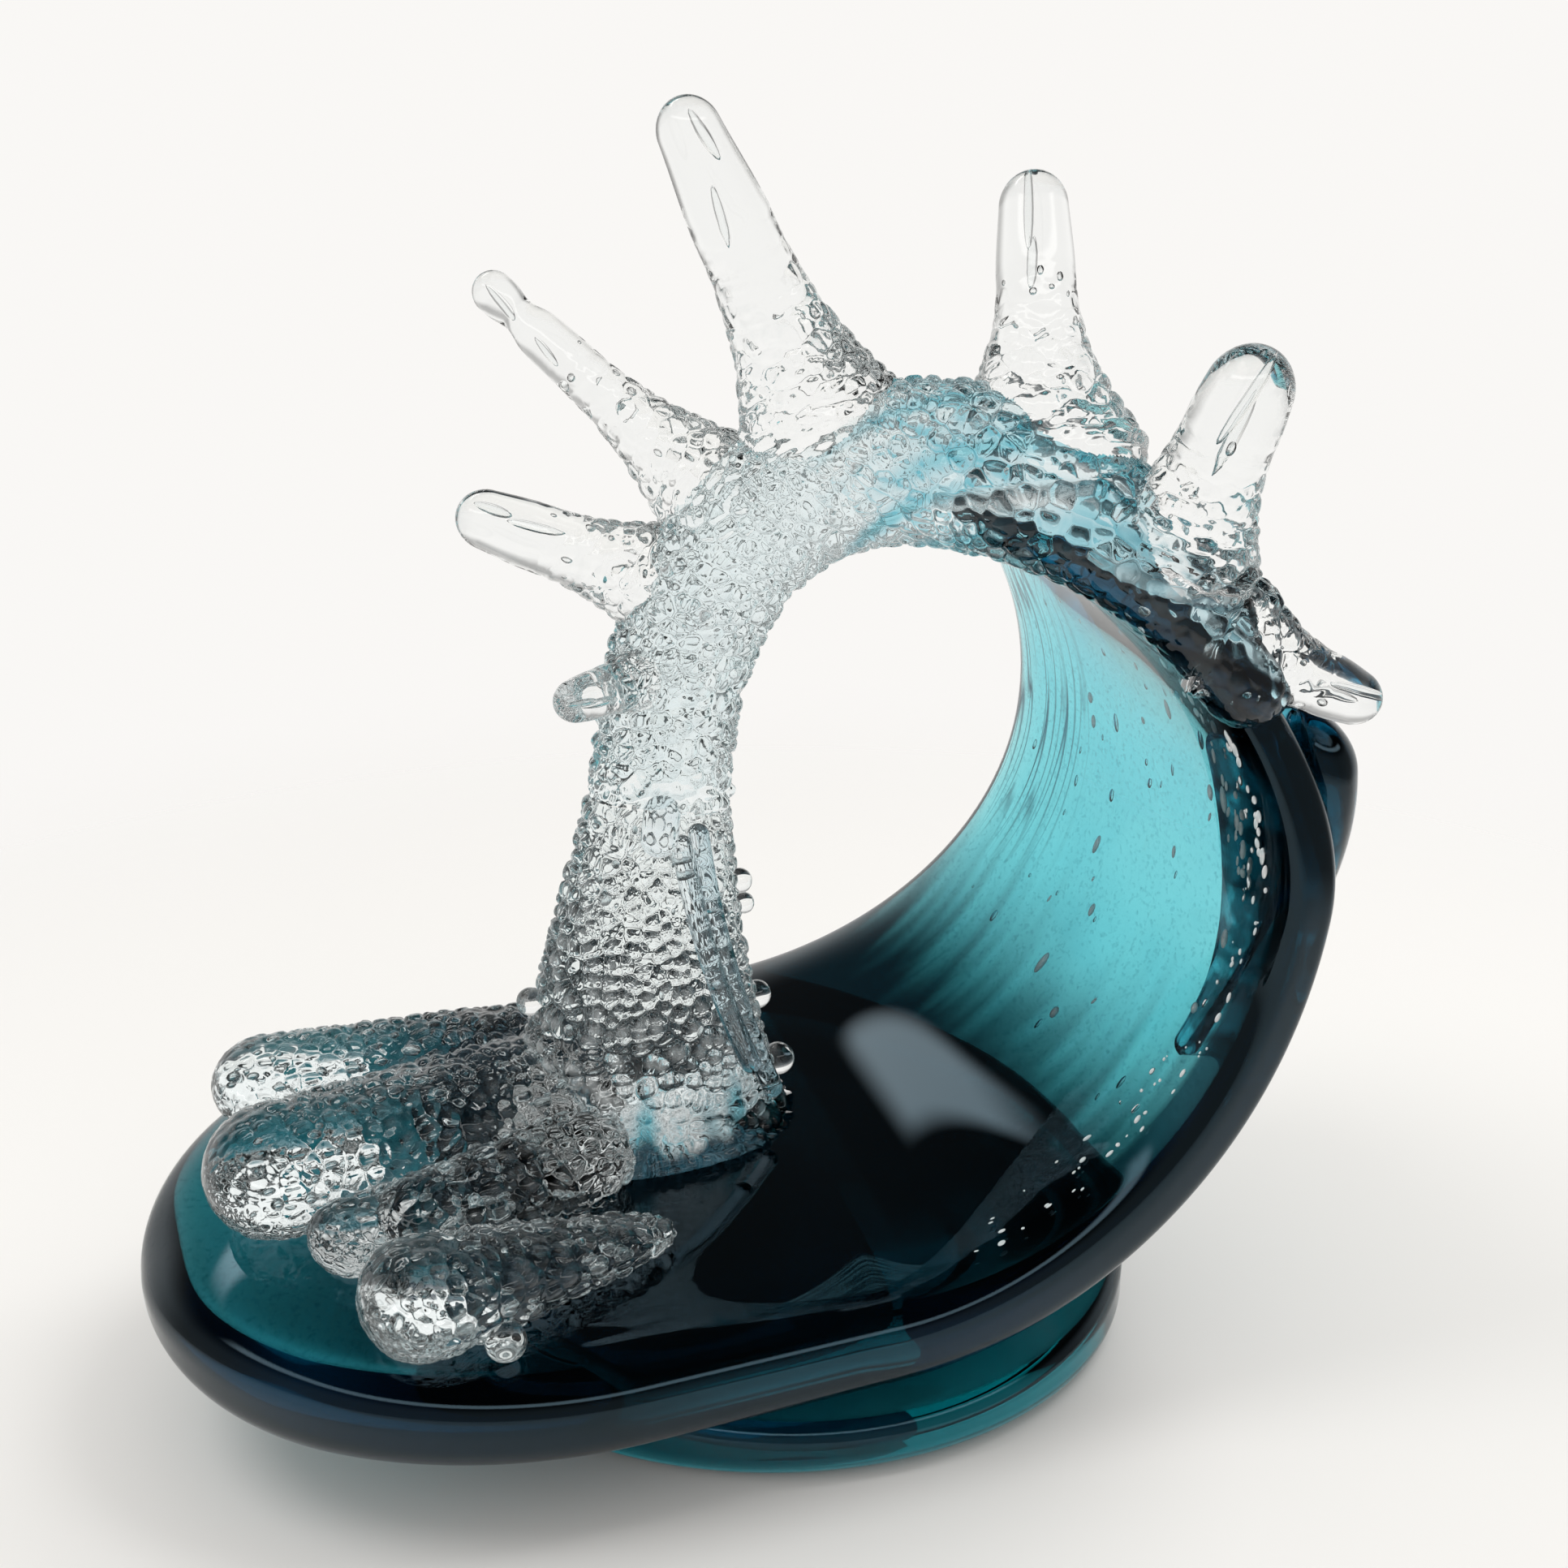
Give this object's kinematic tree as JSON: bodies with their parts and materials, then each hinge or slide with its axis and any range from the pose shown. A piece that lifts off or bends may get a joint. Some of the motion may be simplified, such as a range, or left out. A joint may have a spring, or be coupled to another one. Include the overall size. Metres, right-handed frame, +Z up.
{
  "type": "glass wave sculpture",
  "caption": "Solid hand-worked glass ornament: a teal wave on a round foot curls over into a clear foaming crest with pulled fingers, and a foam column falls back onto its tongue.",
  "frame": {"origin": "middle of the foot's flat underside, on the table", "axes": "+Z up, -Y towards the viewer of the picture, +X to that viewer's right, where the wall of the wave rises"},
  "size_m": [0.2254, 0.1487, 0.2387],
  "materials": {
    "teal_glass": "fire-polished",
    "foam_glass": "pebbled and full of small bubbles",
    "clear_glass": "fire-polished"
  },
  "bodies": {
    "root": {"foot": "teal_glass", "wave_body": "teal_glass", "back_flap": "teal_glass", "crest_arch": "foam_glass", "foam_column": "foam_glass", "splash_toe_back": "foam_glass", "splash_toe_big": "foam_glass", "splash_toe_gap": "foam_glass", "splash_toe_small": "foam_glass", "splash_toe_front": "foam_glass", "splash_drop": "clear_glass", "finger_right_low": "clear_glass", "finger_right_high": "clear_glass", "finger_top_right": "clear_glass", "finger_top_left": "clear_glass", "finger_left_high": "clear_glass", "finger_left_mid": "clear_glass", "finger_left_low": "clear_glass", "trail_head": "clear_glass", "trail_outer": "clear_glass", "trail_inner": "clear_glass", "column_beads": "clear_glass"}
  },
  "joints": []
}
